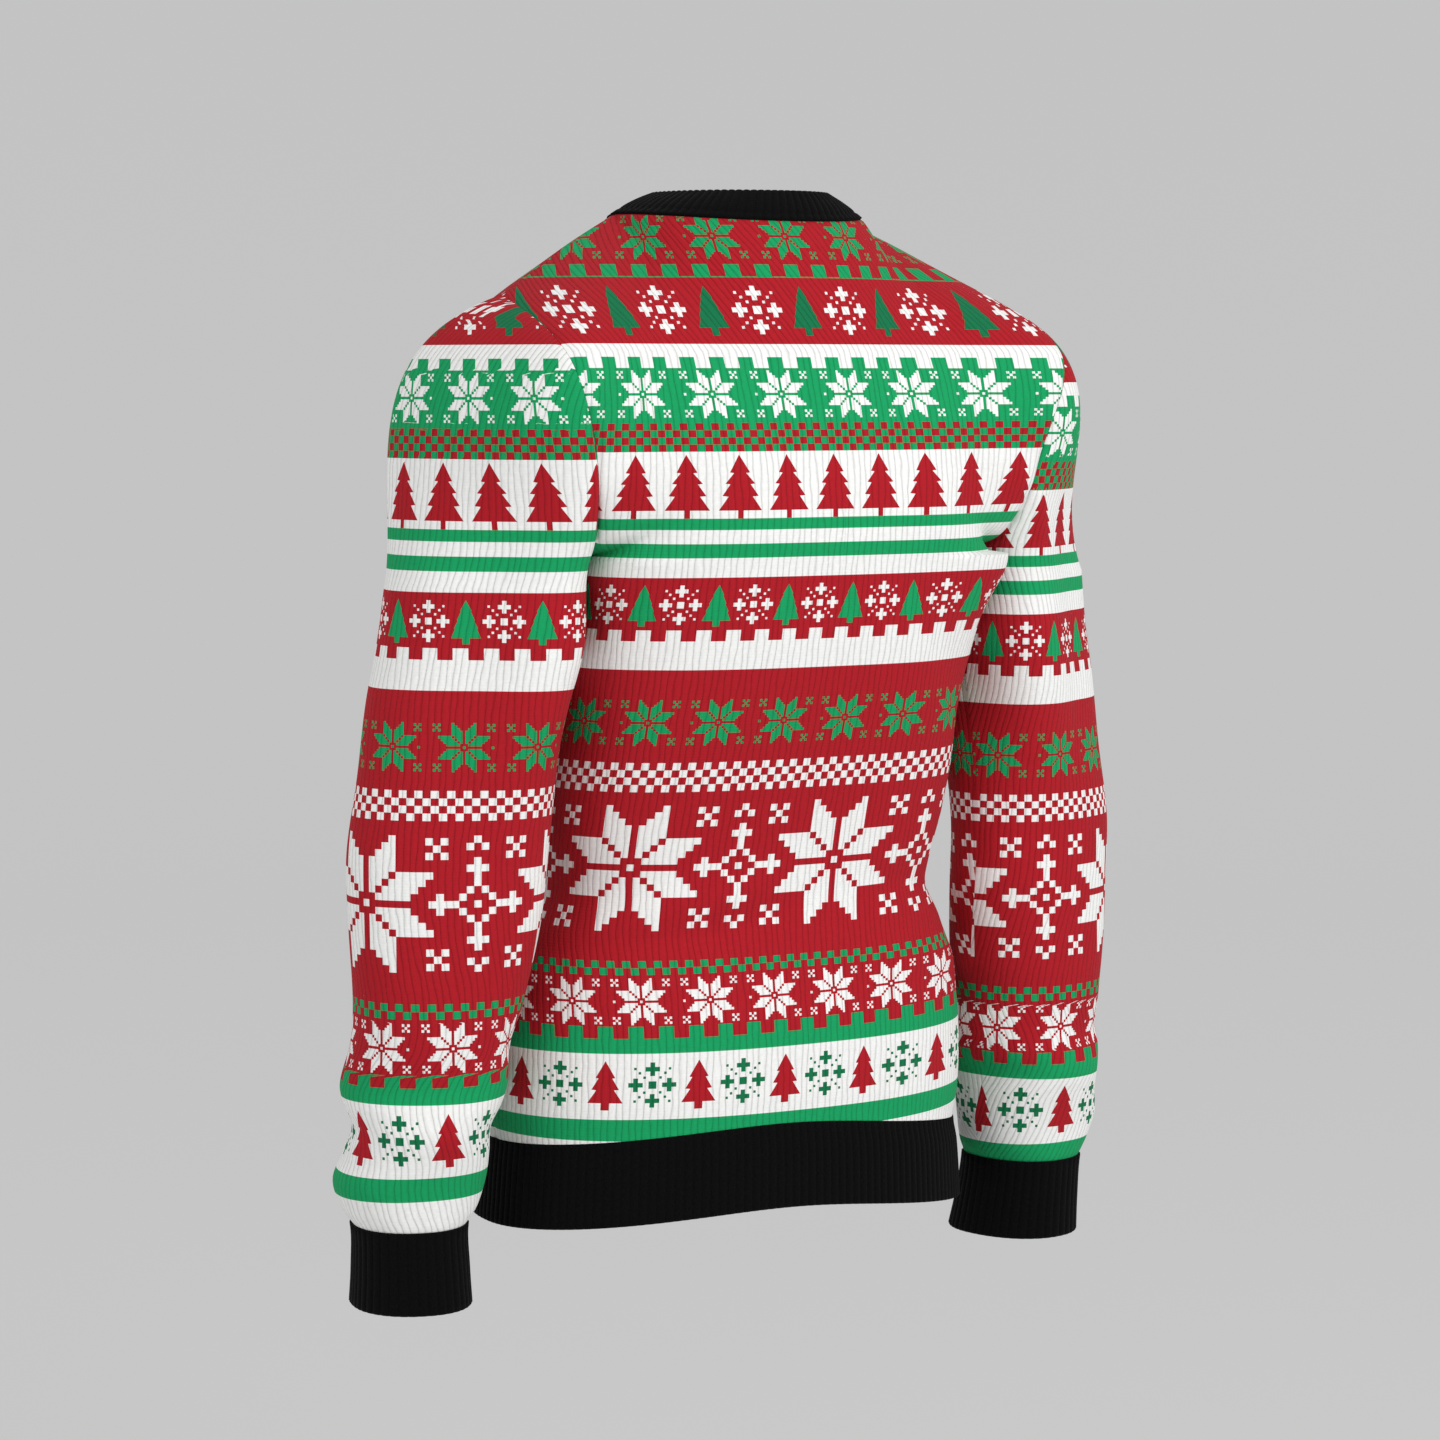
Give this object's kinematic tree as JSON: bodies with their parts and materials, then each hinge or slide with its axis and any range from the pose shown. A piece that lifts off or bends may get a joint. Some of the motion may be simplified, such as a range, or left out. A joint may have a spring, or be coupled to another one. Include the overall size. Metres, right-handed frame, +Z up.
{
  "type": "christmas sweater, worn shape held up by its wearer",
  "caption": "Crew-neck knitted christmas sweater in worn shape, with set-in sleeves, black ribbed neckband, cuffs and hem band and red, green and white fair isle bands.",
  "frame": {"origin": "middle of the line between the two neck points, where the sweater hangs on its wearer's shoulders", "axes": "+Z up, -Y towards the front of the sweater, +X towards the wearer's left"},
  "size_m": [0.6092, 0.3036, 0.76],
  "materials": {
    "jersey": "matte",
    "rib": "matte"
  },
  "bodies": {
    "root": {"back": "jersey", "front": "jersey", "sleeve_left": "jersey", "sleeve_right": "jersey", "neckband": "rib", "hem_band": "rib", "cuff_left": "rib", "cuff_right": "rib"}
  },
  "joints": []
}
